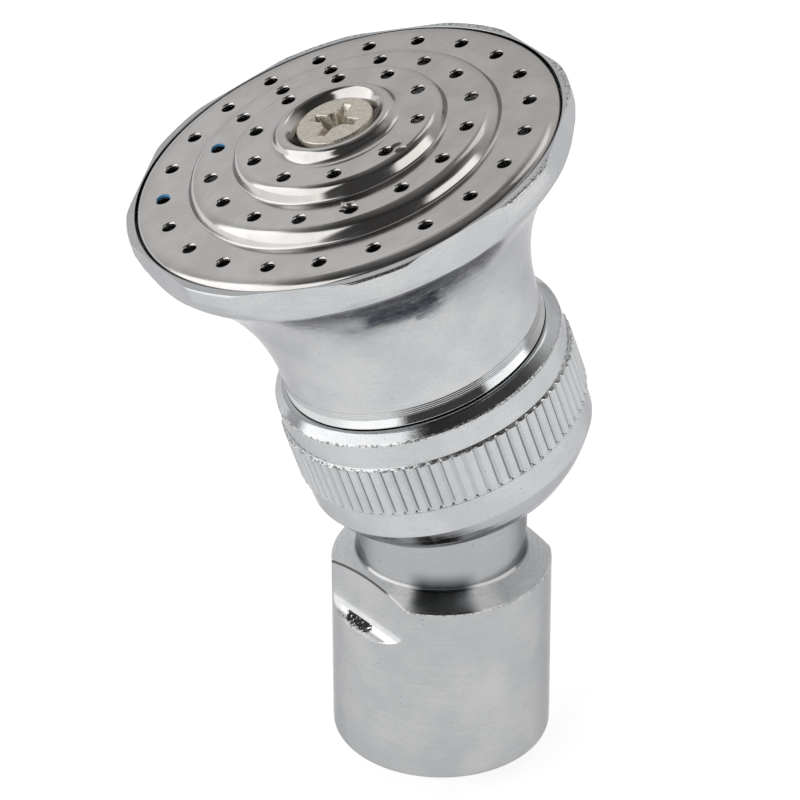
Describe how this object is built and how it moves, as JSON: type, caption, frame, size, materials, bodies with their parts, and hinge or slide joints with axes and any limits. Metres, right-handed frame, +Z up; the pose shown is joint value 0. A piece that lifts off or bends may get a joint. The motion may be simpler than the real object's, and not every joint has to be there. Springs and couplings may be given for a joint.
{
  "type": "swivelling spray head",
  "caption": "Chromed open spray head: stepped, drilled face plate in a flared bell with a flat-sided rim, on a ball joint with a knurled collar nut and a threaded inlet.",
  "frame": {"origin": "centre of the threaded inlet's lower face, on the inlet's axis", "axes": "+Z up the inlet's axis; at rest the head leans towards -X and tilts about +Y"},
  "size_m": [0.0533, 0.052, 0.0858],
  "materials": {
    "satin_chrome": "satin, finely brushed round the axis",
    "polished_steel": "polished, with faint fine grain",
    "nickel_steel": "dull nickel plate",
    "plain_steel": "plain machined",
    "black_rubber": "matte",
    "white_plastic": "matte moulded"
  },
  "bodies": {
    "inlet": {"inlet_body": "satin_chrome", "inlet_washer": "black_rubber", "filter_screen": "plain_steel", "flow_regulator": "white_plastic"},
    "swivel": {"ball_liner": "white_plastic"},
    "tilt": {"ball_seal": "black_rubber"},
    "head": {"seal_backing_washer": "plain_steel", "spider": "plain_steel", "bell": "satin_chrome", "face_gasket": "black_rubber", "face_plate": "polished_steel", "screw_washer": "black_rubber", "face_screw": "nickel_steel"},
    "thrust": {"thrust_ring": "white_plastic"},
    "collar": {"collar_nut": "satin_chrome"}
  },
  "joints": [
    {"name": "head_swivel", "type": "hinge", "parent": "inlet", "child": "swivel", "pos_m": [0, 0, 0.0422], "axis": [0, 0, 1], "continuous": true},
    {"name": "head_tilt", "type": "hinge", "parent": "swivel", "child": "tilt", "pos_m": [0, 0, 0.0422], "axis": [0, 1, 0], "range_deg": [-0.8, 36]},
    {"name": "head_spin", "type": "hinge", "parent": "tilt", "child": "head", "pos_m": [0, 0, 0.0422], "axis": [-0.3024, 0, 0.9532], "continuous": true},
    {"name": "collar_slide", "type": "slide", "parent": "head", "child": "thrust", "axis": [0.3024, 0, -0.9532], "range_m": [0, 0.00025]},
    {"name": "collar_turn", "type": "hinge", "parent": "thrust", "child": "collar", "pos_m": [0, 0, 0.0422], "axis": [0.3024, 0, -0.9532], "range_deg": [0, 90]}
  ],
  "couplings": [
    {"joint": "collar_slide", "follows": "collar_turn", "m_per_rad": 0.00015915}
  ]
}
